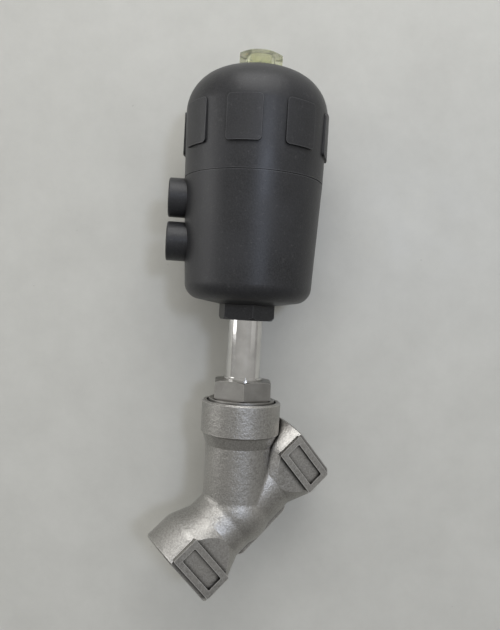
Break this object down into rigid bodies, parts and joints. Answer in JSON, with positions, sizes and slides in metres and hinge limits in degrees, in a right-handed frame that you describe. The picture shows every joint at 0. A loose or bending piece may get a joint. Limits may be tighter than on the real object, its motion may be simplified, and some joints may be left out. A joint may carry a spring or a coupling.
{
  "type": "angle seat valve",
  "caption": "Pneumatic angle seat valve: slanted pipe body with threaded ends, hexagon bonnet, polished tube and black domed piston actuator with air ports on one side.",
  "frame": {"origin": "on the pipe axis in the inlet port, where its thread starts behind the lead-in", "axes": "+Z along the stem from the seat to the actuator's cap; +X towards the outlet side, so the pipe axis runs from the inlet up and towards +X in the XZ plane; +Y completes the frame"},
  "size_m": [0.1068, 0.0834, 0.3132],
  "materials": {
    "cast_stainless": "satin",
    "machined_stainless": "satin",
    "polished_tube": "polished",
    "stainless_parts": "satin",
    "ptfe": "matte",
    "bronze_bush": "satin",
    "rubber_seals": "matte",
    "black_polyamide": "satin",
    "brass_inserts": "satin",
    "clear_cap": "clear",
    "spring_steel": "satin",
    "piston_plastic": "matte",
    "indicator_plastic": "satin"
  },
  "bodies": {
    "valve_group": {"valve_body": "cast_stainless", "body_seal_ring": "ptfe", "nipple": "machined_stainless", "guide_tube": "polished_tube", "packing_support_ring": "ptfe", "packing_v_rings": "ptfe", "packing_pressure_ring": "stainless_parts", "packing_spring": "stainless_parts", "spindle_guide_bush": "bronze_bush", "spindle_wiper": "rubber_seals", "tube_retaining_nut": "stainless_parts", "tube_stop_ring": "stainless_parts"},
    "actuator_group": {"actuator_body": "black_polyamide", "tube_o_ring": "rubber_seals", "lower_port_insert": "brass_inserts", "upper_port_insert": "brass_inserts", "actuator_cover": "black_polyamide", "cover_seal_ring": "rubber_seals", "cap_seal_ring": "rubber_seals", "closing_spring": "spring_steel"},
    "cap_group": {"transparent_cap": "clear_cap"},
    "stem_group": {"spindle": "stainless_parts", "piston": "piston_plastic", "piston_lip_seal": "rubber_seals", "piston_guide_ring": "ptfe", "piston_washer": "stainless_parts", "piston_nut": "stainless_parts", "position_indicator": "indicator_plastic", "spindle_clip": "stainless_parts"},
    "plug_group": {"swivel_plate": "stainless_parts", "seat_seal": "ptfe", "seat_seal_screw": "stainless_parts"}
  },
  "joints": [
    {"name": "actuator_turn", "type": "hinge", "parent": "valve_group", "child": "actuator_group", "pos_m": [0.0343, 0, 0.14105], "axis": [0, 0, 1], "continuous": true},
    {"name": "stem_stroke", "type": "slide", "parent": "actuator_group", "child": "stem_group", "axis": [0, 0, 1], "range_m": [0, 0.0095], "stiffness_N_per_m": 8000, "springref_m": -0.02, "deforming": ["closing_spring"]},
    {"name": "plug_swivel", "type": "hinge", "parent": "stem_group", "child": "plug_group", "pos_m": [0.0343, 0, 0.03335], "axis": [0, 0, 1], "continuous": true},
    {"name": "cap_unscrewed", "type": "slide", "parent": "actuator_group", "child": "cap_group", "axis": [0, 0, 1], "range_m": [0, 0.012]}
  ]
}
